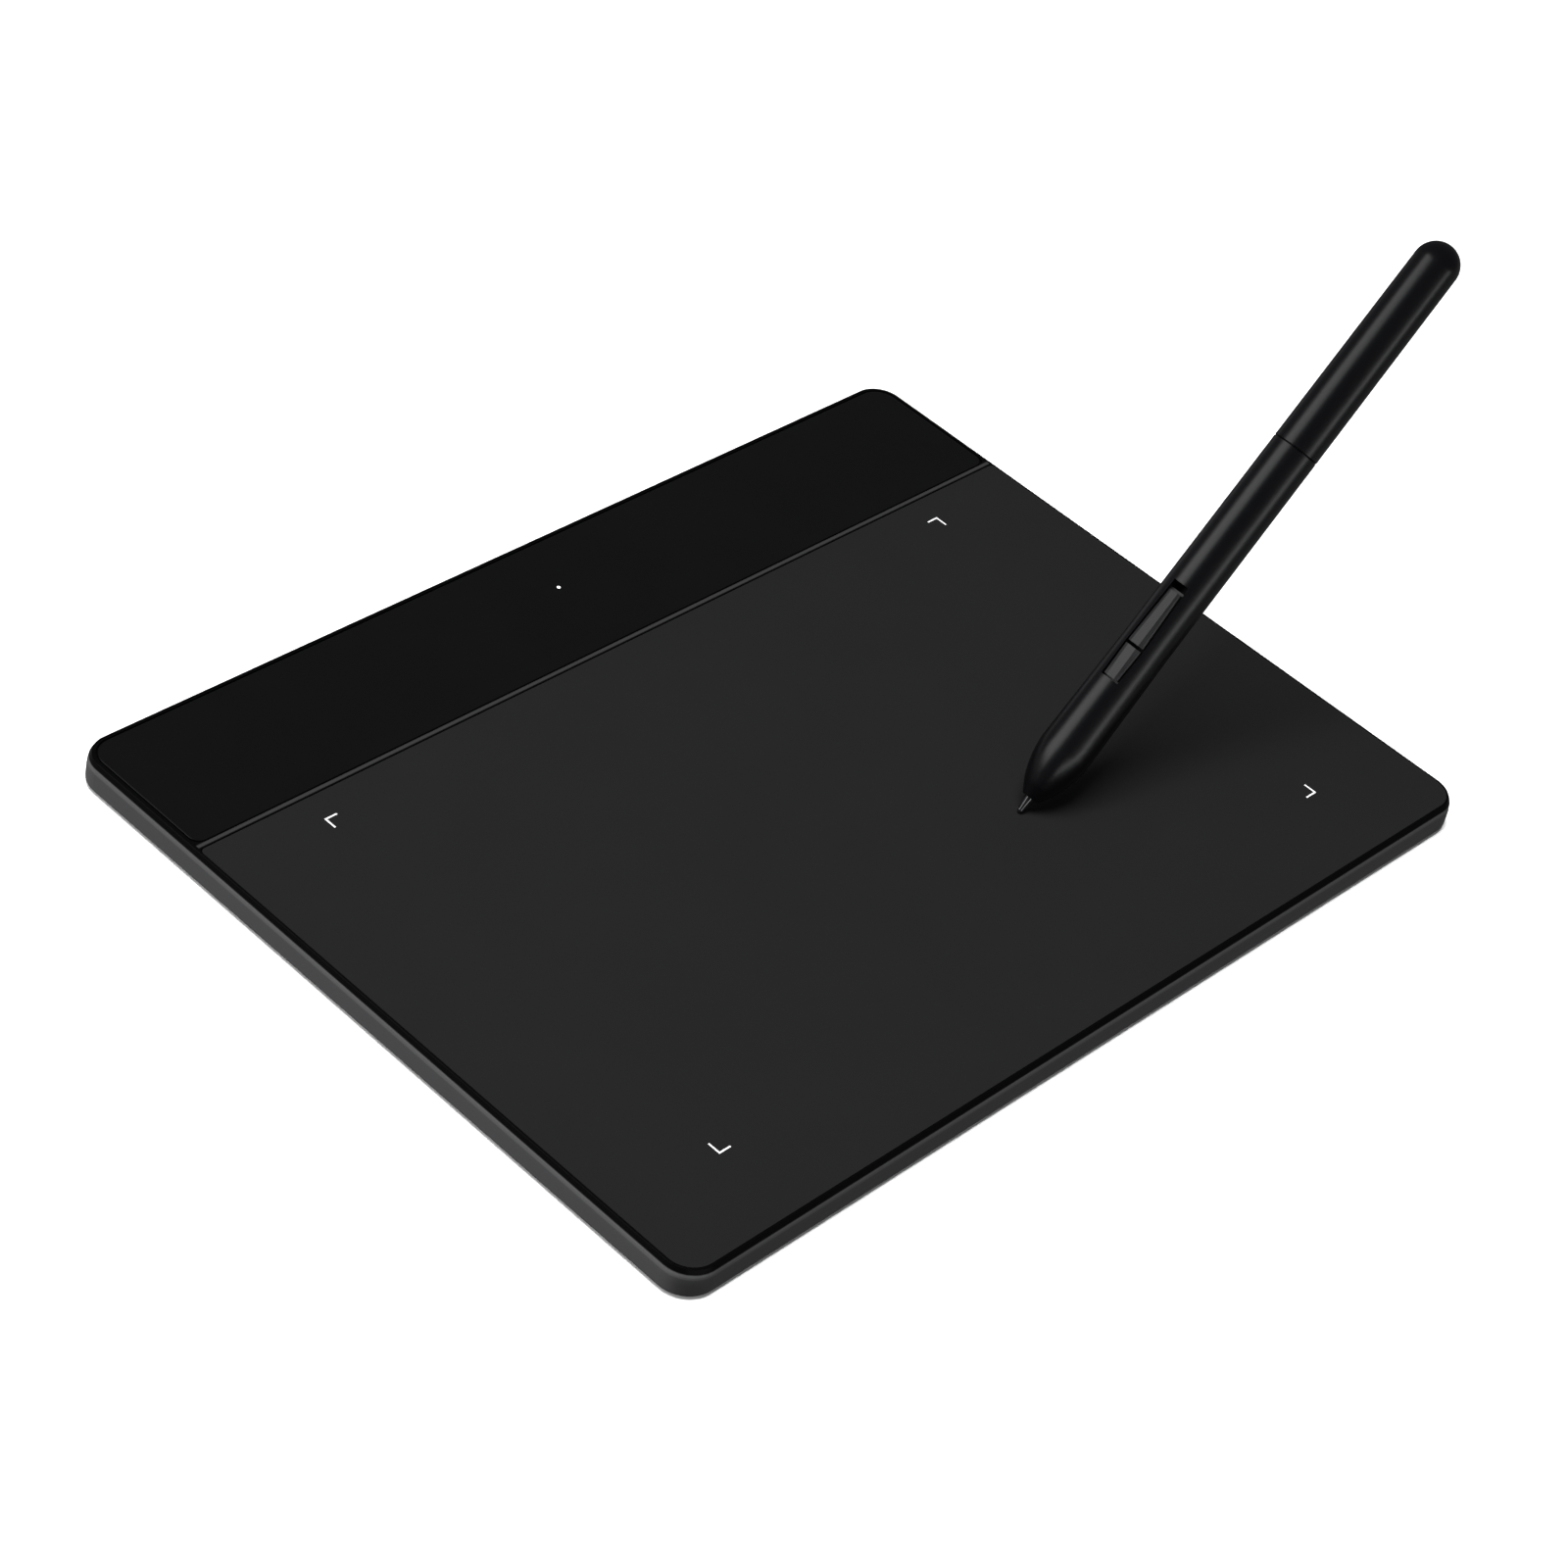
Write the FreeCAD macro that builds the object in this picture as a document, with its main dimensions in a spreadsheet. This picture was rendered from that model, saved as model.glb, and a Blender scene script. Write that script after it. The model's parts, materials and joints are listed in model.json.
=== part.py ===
import FreeCAD
import Part
import math
import os
import re

import Sketcher
from FreeCAD import Placement, Rotation, Vector

# A pen drawing tablet with its pen: a flat housing that lies on the desk, and a battery-free pen
# that stands on the drawing surface. Millimetres. The origin is the centre of the housing's
# footprint on the desk, +X points right, +Y points away from the user and +Z points up.
# The pen is modelled upright along +Z from the point where its axis meets the drawing surface,
# with its buttons towards +X, and is then put into its writing position.

SIZES = {
    # housing
    "tablet_width": 208.5,
    "tablet_depth": 155.5,
    "corner_radius": 6.2,
    "top_level": 6.6,
    "foot_drop": 0.6,
    "slope_inset": 0.3,
    "slope_height": 2.6,
    "slope_blend": 9.0,
    "bevel_inset": 0.45,
    "bevel_height": 1.15,
    "bevel_blend": 2.0,
    "top_edge_radius": 0.25,
    "bottom_edge_radius": 0.7,
    "edge_width": 1.05,
    "wall": 1.8,
    "plate_bottom": 5.3,
    # drawing surface and accent panel
    "surface_thickness": 0.4,
    "adhesive_thickness": 0.1,
    "surface_back": 44.55,
    "surface_gap": 0.12,
    "surface_divider_gap": 0.18,
    "surface_back_radius": 1.0,
    "panel_thickness": 0.5,
    "panel_front": 46.15,
    "panel_rim": 0.75,
    "panel_gap": 0.35,
    "panel_front_radius": 2.2,
    "adhesive_setback": 2.0,
    "adhesive_corner": 0.5,
    # power light
    "light_y": 63.7,
    "light_radius": 0.45,
    "light_hole_radius": 0.5,
    "light_flange_radius": 1.2,
    "light_flange_bottom": 4.7,
    # bottom cover, feet and cover screws
    "cover_thickness": 1.2,
    "cover_ledge": 0.55,
    "cover_gap": 0.15,
    "foot_length": 20.0,
    "foot_width": 8.0,
    "foot_recess": 0.3,
    "foot_gap": 0.1,
    "foot_x": 90.0,
    "foot_y": 67.0,
    "screw_x": 94.0,
    "screw_y": 67.0,
    "boss_radius": 2.8,
    "screw_shank_radius": 0.8,
    "screw_pilot_radius": 0.85,
    "screw_head_radius": 1.5,
    "screw_head_height": 0.45,
    "screw_seat_level": 1.4,
    "screw_end_level": 4.6,
    "counterbore_radius": 1.75,
    "screw_clearance_radius": 1.0,
    # sensing stack under the drawing surface
    "sensor_width": 172.0,
    "sensor_depth": 112.6,
    "sensor_y": -10.7,
    "sensor_bottom": 4.65,
    "sensor_thickness": 0.6,
    "shield_inset": 4.0,
    "shield_bottom": 4.4,
    "shield_thickness": 0.2,
    "foam_bottom": 2.3,
    "foam_thickness": 2.05,
    "stiffener_bottom": 1.85,
    "stiffener_thickness": 0.4,
    "stack_back_inset": 7.0,
    # main board
    "board_width": 100.0,
    "board_front": 50.0,
    "board_back": 75.4,
    "board_bottom": 3.1,
    "board_thickness": 0.8,
    "board_screw_x": 45.0,
    "board_screw_y": 62.7,
    "board_boss_radius": 2.0,
    "board_screw_radius": 0.6,
    "board_pilot_radius": 0.63,
    "board_hole_radius": 0.75,
    "board_head_radius": 1.3,
    "board_head_height": 0.6,
    "board_screw_end": 4.9,
    # standard type C receptacle
    "port_opening_width": 8.34,
    "port_opening_height": 2.56,
    "port_shell_wall": 0.3,
    "port_length": 8.0,
    "port_level": 3.6,
    "port_setback": 0.3,
    "port_wall_gap": 0.2,
    "port_notch_gap": 0.25,
    "port_rear_plug": 1.2,
    "tongue_width": 6.69,
    "tongue_thickness": 0.7,
    "tongue_length": 4.45,
    "contact_width": 0.25,
    "contact_pitch": 0.5,
    "contact_length": 3.2,
    "contact_thickness": 0.06,
    "contact_setback": 0.6,
    # parts on the main board
    "cable_width": 24.0,
    "cable_thickness": 0.12,
    "cable_start": 39.6,
    "cable_bend": 46.4,
    "cable_drop_end": 49.2,
    "cable_end": 52.0,
    "cable_level": 4.59,
    "cable_socket_level": 4.35,
    "socket_width": 27.0,
    "socket_depth": 3.6,
    "socket_height": 1.0,
    "socket_front": 50.6,
    "socket_slot": 0.2,
    "socket_side_gap": 0.2,
    "socket_end_gap": 0.1,
    "chip_lead_width": 0.3,
    "chip_lead_pitch": 0.8,
    "chip_lead_thickness": 0.15,
    "chip_lead_reach": 0.8,
    "controller_size": 7.0,
    "controller_height": 0.9,
    "controller_x": -20.0,
    "controller_y": 65.0,
    "switch_chip_length": 6.0,
    "switch_chip_width": 3.9,
    "switch_chip_height": 0.9,
    "switch_chip_y": 58.6,
    "switch_chip_pitch": 12.0,
    "crystal_length": 3.2,
    "crystal_width": 2.5,
    "crystal_height": 0.7,
    "crystal_x": -29.0,
    "led_length": 1.6,
    "led_width": 0.8,
    "led_height": 0.6,
    "capacitor_length": 1.0,
    "capacitor_width": 0.5,
    "capacitor_height": 0.5,
    "capacitor_pitch": 2.4,
    # how far a cutting block passes the solid that it cuts
    "tool_spare": 1.0,
    # pen position on the tablet
    "pen_x": 26.4,
    "pen_y": -31.4,
    "pen_elevation": 48.7,
    "pen_heading": -1.7,
    "pen_roll": -176.7,
    # pen outside
    "nose_level": 3.8,
    "nose_radius": 1.7,
    "nose_chamfer_level": 6.3,
    "nose_chamfer_radius": 3.3,
    "nose_curve": 22.0,
    "shoulder_level": 14.4,
    "shoulder_radius": 5.15,
    "grip_level": 38.7,
    "grip_radius": 4.74,
    "seam_level": 83.0,
    "seam_radius": 4.63,
    "seam_gap": 0.1,
    "seam_chamfer": 0.12,
    "tail_radius": 4.5,
    "pen_length": 128.8,
    "bore_radius": 3.7,
    "nose_bore_radius": 1.4,
    "rear_bore_end": 123.6,
    # nib and what moves with it
    "nib_tip_radius": 0.62,
    "nib_tip_centre": 1.04,
    "nib_radius": 1.2,
    "nib_cone_end": 4.2,
    "nib_shoulder": 6.2,
    "nib_shaft_radius": 0.8,
    "nib_end": 21.5,
    "holder_front": 19.4,
    "holder_end": 23.0,
    "holder_radius": 1.5,
    "holder_bore_radius": 0.82,
    "holder_end_gap": 0.1,
    # pen electronics
    "core_front": 8.8,
    "core_end": 19.0,
    "core_inner_radius": 1.1,
    "core_outer_radius": 1.9,
    "coil_front": 10.4,
    "coil_end": 17.6,
    "coil_inner_radius": 1.92,
    "coil_outer_radius": 2.5,
    "pad_front": 23.5,
    "pad_radius": 1.2,
    "sensor_front": 24.2,
    "sensor_end": 27.5,
    "sensor_radius": 2.6,
    "frame_front": 15.0,
    "frame_end": 75.0,
    "frame_outer_radius": 3.55,
    "frame_inner_radius": 2.9,
    "frame_top": -0.45,
    "pen_board_front": 28.0,
    "pen_board_end": 74.0,
    "pen_board_width": 5.6,
    "pen_board_thickness": 0.8,
    "tact_size": 3.0,
    "tact_height": 0.9,
    "tact_plunger_radius": 0.8,
    "tact_plunger_height": 0.3,
    "sleeve_front": 76.0,
    "sleeve_end": 90.0,
    "sleeve_inner_radius": 3.05,
    "sleeve_outer_radius": 3.66,
    "rear_mouth_radius": 3.72,
    # pen buttons
    "slot_front": 29.85,
    "slot_end": 51.3,
    "slot_floor": 2.0,
    "button_gap": 0.36,
    "short_button_front": 30.2,
    "short_button_end": 36.95,
    "long_button_front": 37.6,
    "long_button_end": 49.4,
    "button_low": 4.72,
    "button_high": 5.12,
    "button_side": 4.3,
    "key_ledge_height": 0.25,
    "key_ledge_inset": 0.17,
    "key_front_half": 1.6,
    "key_front_top_half": 0.85,
    "key_inner_half": 1.75,
    "key_inner_top_half": 0.9,
    "key_rear_half": 1.3,
    "key_rear_top_half": 0.72,
    "flange_bottom": 2.5,
    "flange_top": 3.0,
    "flange_width": 3.6,
    "flange_reach": 0.5,
    "stem_bottom": 1.95,
    "stem_radius": 0.9,
    "bore_start": 14.0,
    "bore_neck": 9.0,
    "bore_neck_radius": 2.8,
    "nose_bore_end": 6.8,
    "rear_bore_taper": 0.12,
    "pen_capacitor_front": 54.0,
    # small shared values
    "pilot_spare": 0.15,
    "port_flat": 0.04,
    "foot_flat": 0.04,
    "foot_edge": 0.15,
    "cover_edge": 0.2,
    "panel_chamfer": 0.08,
    "sensor_corner": 2.0,
    "board_corner": 1.0,
    "switch_chip_x": 6.0,
    "capacitor_x": -14.0,
    "capacitor_y": 71.0,
}
NOTHING = 1e-6
FULL_TURN = 360
CORNERS = 4
ARC_POINT = 3
LEVEL_SLACK = 0.02
CONTACTS_PER_FACE = 12
CONTROLLER_LEADS = 8
SWITCH_CHIPS = 3
SWITCH_LEADS = 6
BOARD_CAPACITORS = 4
PEN_CAPACITORS = 6

doc = FreeCAD.newDocument("pen_tablet")
sheet = doc.addObject("Spreadsheet::Sheet", "Sizes")
for row, (alias, number) in enumerate(SIZES.items(), start=1):
    sheet.set(f"A{row}", alias.replace("_", " "))
    sheet.set(f"B{row}", str(number))
    sheet.setAlias(f"B{row}", alias)
doc.recompute()

nodes = []


# ---------------------------------------------------------------- expressions used in several places

HALF_FLAT = "tablet_width / 2 - edge_width"
HALF_DEPTH = "tablet_depth / 2"
COVER_TOP = "foot_drop + cover_thickness"
BOARD_TOP = "board_bottom + board_thickness"
SCREW_SPOTS = [(x, y) for x in ("screw_x", "-screw_x") for y in ("screw_y", "0", "-screw_y")]
BOARD_SCREW_SPOTS = [("board_screw_x", "board_screw_y"), ("-board_screw_x", "board_screw_y")]
LIGHT_SPOT = [("0", "light_y")]
FEET = [
    ("foot_front_left", "-foot_x", "-foot_y"),
    ("foot_front_right", "foot_x", "-foot_y"),
    ("foot_rear_left", "-foot_x", "foot_y"),
    ("foot_rear_right", "foot_x", "foot_y"),
]
PORT_BACK = "tablet_depth / 2 - port_setback"
SHORT_MIDDLE = "(short_button_front + short_button_end) / 2"
LONG_MIDDLE = "(long_button_front + long_button_end) / 2"

# ---------------------------------------------------------------- expressions and registration


def bound(text):
    """The expression with every size named in it read from the sheet."""
    return re.sub(r"[a-z][a-z_]*", lambda word: f"Sizes.{word.group()}", str(text))


def value(text):
    """The number that an expression of sizes has now."""
    return float(sheet.evalExpression(bound(text)))


def bind(thing, **sizes):
    """Ties properties of an object to expressions of sizes."""
    for name, text in sizes.items():
        thing.setExpression(name, bound(text))


def node(thing, name):
    """Makes an object one of the finished pieces under its own name."""
    thing.Label = name
    nodes.append(thing)
    return thing


def new_body(name):
    return doc.addObject("PartDesign::Body", f"{name}_body")


# ---------------------------------------------------------------- sketches


# how a sketch's constraints name its origin, its upright axis and the points of a line or an arc
ORIGIN, UP_AXIS = -1, -2
START, END, CENTRE = 1, 2, 3


def new_sketch(body, role, level):
    """An empty sketch on one of the body's own planes, moved along the axis that the plane faces."""
    plane = next(item for item in body.Origin.OriginFeatures if item.Role == role)
    sketch = body.newObject("Sketcher::SketchObject", "sketch")
    sketch.AttachmentSupport = [(plane, "")]
    sketch.MapMode = "FlatFace"
    sign = "-" if role == "XZ_Plane" else ""
    sketch.setExpression("AttachmentOffset.Base.z", bound(f"{sign}({level})"))
    return sketch


def size_constraint(sketch, kind, *arguments):
    """A constraint whose size, the last argument, stays tied to an expression."""
    *geometry, text = arguments
    index = sketch.addConstraint(Sketcher.Constraint(kind, *geometry, value(text)))
    sketch.setExpression(f"Constraints[{index}]", bound(text))


def place_point(sketch, geometry, end, across, up):
    """Fixes a point of the sketch at a distance across and up from the sketch's origin."""
    for kind, axis, text in (("DistanceX", UP_AXIS, across), ("DistanceY", ORIGIN, up)):
        if text == "0":
            sketch.addConstraint(Sketcher.Constraint("PointOnObject", geometry, end, axis))
        else:
            size_constraint(sketch, kind, ORIGIN, START, geometry, end, text)


def rounded_sketch(body, width, depth, level, radius, centre_x="0", centre_y="0", role="XY_Plane"):
    """A rectangle with four equal round corners, about a centre."""
    sketch = new_sketch(body, role, level)
    corner = value(radius)
    reach_x = value(width) / 2 - corner
    reach_y = value(depth) / 2 - corner
    middle = Vector(value(centre_x), value(centre_y), 0)
    steps = (Vector(0, -1, 0), Vector(1, 0, 0), Vector(0, 1, 0), Vector(-1, 0, 0))
    turns = ((1, -1), (1, 1), (-1, 1), (-1, -1))
    centres = [middle + Vector(x * reach_x, y * reach_y, 0) for x, y in turns]
    for index in range(CORNERS):
        start = centres[index - 1] + steps[index] * corner
        sketch.addGeometry(Part.LineSegment(start, centres[index] + steps[index] * corner))
    for index, centre in enumerate(centres):
        first = math.pi / 2 * (index - 1)
        circle = Part.Circle(centre, Vector(0, 0, 1), corner)
        sketch.addGeometry(Part.ArcOfCircle(circle, first, first + math.pi / 2))
    front_line, right_line, back_line, left_line = range(CORNERS)
    arcs = range(CORNERS, 2 * CORNERS)
    for line, arc in enumerate(arcs):
        following = (line + 1) % CORNERS
        direction = "Horizontal" if line in (front_line, back_line) else "Vertical"
        sketch.addConstraint(Sketcher.Constraint("Tangent", line, END, arc, START))
        sketch.addConstraint(Sketcher.Constraint("Tangent", arc, END, following, START))
        sketch.addConstraint(Sketcher.Constraint(direction, line))
    for arc in arcs[1:]:
        sketch.addConstraint(Sketcher.Constraint("Equal", arcs[0], arc))
    right_edge = f"({centre_x}) + ({width}) / 2"
    back_edge = f"({centre_y}) + ({depth}) / 2"
    size_constraint(sketch, "Radius", arcs[0], radius)
    size_constraint(sketch, "DistanceX", left_line, START, right_line, START, width)
    size_constraint(sketch, "DistanceY", front_line, START, back_line, START, depth)
    size_constraint(sketch, "DistanceX", ORIGIN, START, right_line, START, right_edge)
    size_constraint(sketch, "DistanceY", ORIGIN, START, back_line, START, back_edge)
    return sketch


def circle_sketch(body, radius, level, centres):
    """Equal circles at the given centres on a level plane."""
    sketch = new_sketch(body, "XY_Plane", level)
    for x, y in centres:
        circle = Part.Circle(Vector(value(x), value(y), 0), Vector(0, 0, 1), value(radius))
        index = sketch.addGeometry(circle)
        place_point(sketch, index, CENTRE, x, y)
        size_constraint(sketch, "Radius", index, radius)
    return sketch


def arc_between(start, end, radius):
    """The shorter arc from start to end, bulging to the right of the way it runs."""
    chord = end - start
    side = Vector(chord.y, -chord.x, 0).normalize()
    half = chord.Length / 2
    centre = (start + end) / 2 - side * math.sqrt(max(radius**2 - half**2, 0))
    return Part.Arc(start, centre + side * radius, end)


def outline_sketch(body, points, role="XZ_Plane", level="0"):
    """A closed outline. (across, up) is reached by a line, and (across, up, radius) by an arc."""
    sketch = new_sketch(body, role, level)
    places = [Vector(value(point[0]), value(point[1]), 0) for point in points]
    ends = []
    for index, start in enumerate(places):
        following = (index + 1) % len(points)
        end = places[following]
        if len(points[following]) == ARC_POINT:
            radius = points[following][-1]
            sketch.addGeometry(arc_between(start, end, value(radius)))
            size_constraint(sketch, "Radius", index, radius)
        else:
            sketch.addGeometry(Part.LineSegment(start, end))
        swapped = sketch.getPoint(index, START).distanceToPoint(start) > NOTHING
        ends.append((END, START) if swapped else (START, END))
    for index, point in enumerate(points):
        following = (index + 1) % len(points)
        joint = (index, ends[index][1], following, ends[following][0])
        sketch.addConstraint(Sketcher.Constraint("Coincident", *joint))
        place_point(sketch, index, ends[index][0], point[0], point[1])
    return sketch


# ---------------------------------------------------------------- features


def pad(body, sketch, length, downward=False, both_ways=False):
    feature = body.newObject("PartDesign::Pad", "pad")
    feature.Profile = sketch
    feature.Reversed = downward
    feature.Midplane = both_ways
    bind(feature, Length=length)
    doc.recompute()
    return feature


def cut(body, sketch, depth, turned_round=False):
    """A pocket from the sketch into the solid, turned round if it points away from the solid."""
    before = body.Shape.Volume
    feature = body.newObject("PartDesign::Pocket", "pocket")
    feature.Profile = sketch
    feature.Reversed = turned_round
    bind(feature, Length=depth)
    doc.recompute()
    if body.Shape.Volume > before - NOTHING:
        feature.Reversed = True
        doc.recompute()
    if body.Shape.Volume > before - NOTHING:
        raise RuntimeError(f"a pocket in {body.Name} cuts nothing")
    return feature


def turned(name, points):
    """A body made by turning an upright outline about the Z axis."""
    body = new_body(name)
    sketch = outline_sketch(body, points)
    feature = body.newObject("PartDesign::Revolution", "revolution")
    feature.Profile = sketch
    feature.ReferenceAxis = (sketch, ["V_Axis"])
    feature.Angle = FULL_TURN
    doc.recompute()
    return body


def ring(name, inner, outer, bottom, top):
    """A plain tube about the Z axis."""
    return turned(name, [(inner, bottom), (outer, bottom), (outer, top), (inner, top)])


def rod(name, radius, bottom, top):
    """A plain round bar about the Z axis."""
    return turned(name, [("0", bottom), (radius, bottom), (radius, top), ("0", top)])


def level_edges(feature, level):
    """The names of the edges that lie in a level plane."""
    names = []
    for index, edge in enumerate(feature.Shape.Edges, start=1):
        box = edge.BoundBox
        if max(abs(box.ZMin - level), abs(box.ZMax - level)) < LEVEL_SLACK:
            names.append(f"Edge{index}")
    return names


def soften(body, kind, level, **sizes):
    """A fillet or a chamfer on the body's edges in a level plane."""
    feature = body.Tip
    dressed = body.newObject(f"PartDesign::{kind}", kind.lower())
    dressed.Base = (feature, level_edges(feature, value(level)))
    bind(dressed, **sizes)
    doc.recompute()
    return dressed


def bevel(body, level, height, inset):
    """A chamfer whose height down the side and inset across the top differ."""
    before = body.Shape.Volume
    dressed = soften(body, "Chamfer", level, Size=height, Size2=inset)
    dressed.ChamferType = "Two distances"
    doc.recompute()
    if not level_edges(dressed, value(f"{level} - {height}")):
        dressed.FlipDirection = True
        doc.recompute()
    if not level_edges(dressed, value(f"{level} - {height}")) or body.Shape.Volume >= before:
        raise RuntimeError(f"a bevel of {body.Name} is not where it should be")
    return dressed


def rounded_plate(name, width, depth, bottom, thickness, radius, centre_x="0", centre_y="0"):
    """A body that is a flat plate with round corners."""
    body = new_body(name)
    pad(body, rounded_sketch(body, width, depth, bottom, radius, centre_x, centre_y), thickness)
    return body


def block(name, low_x, low_y, low_z, length, width, height):
    """A plain box from its lowest corner."""
    box = doc.addObject("Part::Box", name)
    bind(box, Length=length, Width=width, Height=height)
    for axis, text in zip("xyz", (low_x, low_y, low_z)):
        box.setExpression(f"Placement.Base.{axis}", bound(text))
    return box


def cylinder(name, x, y, bottom, radius, height):
    """An upright cylinder."""
    round_bar = doc.addObject("Part::Cylinder", name)
    bind(round_bar, Radius=radius, Height=height)
    for axis, text in zip("xyz", (x, y, bottom)):
        round_bar.setExpression(f"Placement.Base.{axis}", bound(text))
    return round_bar


def fused(name, pieces):
    """Several solids as one object. Those that don't touch stay separate solids."""
    whole = doc.addObject("Part::MultiFuse", f"{name}_whole")
    whole.Shapes = pieces
    doc.recompute()
    return whole


def removed(name, base, tool):
    """A solid less another."""
    result = doc.addObject("Part::Cut", f"{name}_cut")
    result.Base = base
    result.Tool = tool
    doc.recompute()
    return result


# ---------------------------------------------------------------- outlines on the tablet's top


def top_outline(body, level, half_width, front, back, front_radius, back_radius):
    """A four-sided outline across the tablet whose front and back corners may differ."""
    front_line = f"({front}) + ({front_radius})"
    back_line = f"({back}) - ({back_radius})"
    points = [
        (f"({front_radius}) - ({half_width})", front, front_radius),
        (f"({half_width}) - ({front_radius})", front),
        (half_width, front_line, front_radius),
        (half_width, back_line),
        (f"({half_width}) - ({back_radius})", back, back_radius),
        (f"({back_radius}) - ({half_width})", back),
        (f"-({half_width})", back_line, back_radius),
        (f"-({half_width})", front_line),
    ]
    return outline_sketch(body, points, "XY_Plane", level)


def surface_outline(body, level, side_gap, divider_gap, back_radius="surface_back_radius"):
    """The drawing surface's outline, opened out by a gap at its sides and at the divider."""
    sides = f"surface_gap - ({side_gap})"
    return top_outline(
        body,
        level,
        f"{HALF_FLAT} - ({sides})",
        f"edge_width + {sides} - {HALF_DEPTH}",
        f"surface_back + ({divider_gap})",
        f"corner_radius - edge_width - ({sides})",
        back_radius,
    )


def panel_outline(body, level, gap, front_radius="panel_front_radius"):
    """The accent panel's outline, opened out by a gap all round."""
    rim = f"panel_rim - ({gap})"
    return top_outline(
        body,
        level,
        f"{HALF_FLAT} - ({rim})",
        f"panel_front - ({gap})",
        f"{HALF_DEPTH} - edge_width - ({rim})",
        front_radius,
        f"corner_radius - edge_width - ({rim})",
    )


def port_outline(body, level, grow):
    """The receptacle's oblong outline, seen from behind, opened out by a distance all round."""
    height = f"port_opening_height + 2 * ({grow})"
    width = f"port_opening_width + 2 * ({grow})"
    radius = f"({height}) / 2 - port_flat / 2"
    return rounded_sketch(body, width, height, level, radius, "0", "port_level", "XZ_Plane")


# ---------------------------------------------------------------- tablet: shells and skins


def make_top_housing():
    body = new_body("top_housing")
    shell = ("tablet_width", "tablet_depth", "foot_drop", "corner_radius")
    pad(body, rounded_sketch(body, *shell), "top_level - foot_drop")
    bevel(body, "top_level", "slope_height", "slope_inset")
    bevel(body, "top_level", "bevel_height", "bevel_inset")
    soften(body, "Fillet", "top_level", Radius="top_edge_radius")
    soften(body, "Fillet", "top_level - bevel_height", Radius="bevel_blend")
    soften(body, "Fillet", "top_level - slope_height", Radius="slope_blend")
    soften(body, "Fillet", "foot_drop", Radius="bottom_edge_radius")

    inside = ("tablet_width - 2 * wall", "tablet_depth - 2 * wall", "plate_bottom")
    cut(body, rounded_sketch(body, *inside, "corner_radius - wall"), "plate_bottom - foot_drop")
    cut(body, cover_outline(body, COVER_TOP, "0"), "cover_thickness")
    recess = surface_outline(body, "top_level", "surface_gap", "surface_divider_gap")
    cut(body, recess, "surface_thickness + adhesive_thickness")
    cut(body, panel_outline(body, "top_level", "panel_gap"), "panel_thickness + adhesive_thickness")

    bosses = circle_sketch(body, "boss_radius", "plate_bottom", SCREW_SPOTS)
    pad(body, bosses, f"plate_bottom - ({COVER_TOP})", downward=True)
    pilots = circle_sketch(body, "screw_pilot_radius", COVER_TOP, SCREW_SPOTS)
    cut(body, pilots, f"screw_end_level + pilot_spare - ({COVER_TOP})")
    bosses = circle_sketch(body, "board_boss_radius", "plate_bottom", BOARD_SCREW_SPOTS)
    pad(body, bosses, f"plate_bottom - ({BOARD_TOP})", downward=True)
    pilots = circle_sketch(body, "board_pilot_radius", BOARD_TOP, BOARD_SCREW_SPOTS)
    cut(body, pilots, f"board_screw_end + pilot_spare - ({BOARD_TOP})")
    cut(body, circle_sketch(body, "light_hole_radius", "top_level", LIGHT_SPOT), "top_level - plate_bottom")
    cut(body, port_outline(body, HALF_DEPTH, "port_shell_wall + port_wall_gap"), "wall")
    return node(body, "top_housing")


def cover_outline(body, level, gap):
    """The opening in the underside, drawn in by a gap all round."""
    inset = f"wall - cover_ledge + ({gap})"
    size = (f"tablet_width - 2 * ({inset})", f"tablet_depth - 2 * ({inset})")
    return rounded_sketch(body, *size, level, f"corner_radius - ({inset})")


def make_bottom_cover():
    body = new_body("bottom_cover")
    pad(body, cover_outline(body, "foot_drop", "cover_gap"), "cover_thickness")
    soften(body, "Fillet", "foot_drop", Radius="cover_edge")
    for _, x, y in FEET:
        grow = "2 * foot_gap"
        size = (f"foot_length + {grow}", f"foot_width + {grow}", "foot_drop")
        radius = "(foot_width + 2 * foot_gap) / 2 - foot_flat / 2"
        cut(body, rounded_sketch(body, *size, radius, x, y), "foot_recess")
    cut(body, circle_sketch(body, "screw_clearance_radius", COVER_TOP, SCREW_SPOTS), "cover_thickness")
    heads = circle_sketch(body, "counterbore_radius", "foot_drop", SCREW_SPOTS)
    cut(body, heads, "screw_seat_level - foot_drop")
    return node(body, "bottom_cover")


def make_feet():
    """Rubber pads glued into recesses of the cover, over its corner screws."""
    for name, x, y in FEET:
        radius = "foot_width / 2 - foot_flat / 2"
        size = ("foot_length", "foot_width", "0", "foot_drop + foot_recess")
        body = rounded_plate(name, *size, radius, x, y)
        soften(body, "Fillet", "0", Radius="foot_edge")
        node(body, name)


def make_drawing_surface():
    body = new_body("drawing_surface")
    pad(body, surface_outline(body, "top_level - surface_thickness", "0", "0"), "surface_thickness")
    return node(body, "drawing_surface")


def make_surface_adhesive():
    """Double-sided tape that holds the drawing surface."""
    body = new_body("surface_adhesive")
    level = "top_level - surface_thickness - adhesive_thickness"
    setback = ("-adhesive_setback", "-adhesive_setback", "adhesive_corner")
    pad(body, surface_outline(body, level, *setback), "adhesive_thickness")
    return node(body, "surface_adhesive")


def make_accent_panel():
    body = new_body("accent_panel")
    pad(body, panel_outline(body, "top_level - panel_thickness", "0"), "panel_thickness")
    cut(body, circle_sketch(body, "light_hole_radius", "top_level", LIGHT_SPOT), "panel_thickness")
    soften(body, "Chamfer", "top_level", Size="panel_chamfer")
    return node(body, "accent_panel")


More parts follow.
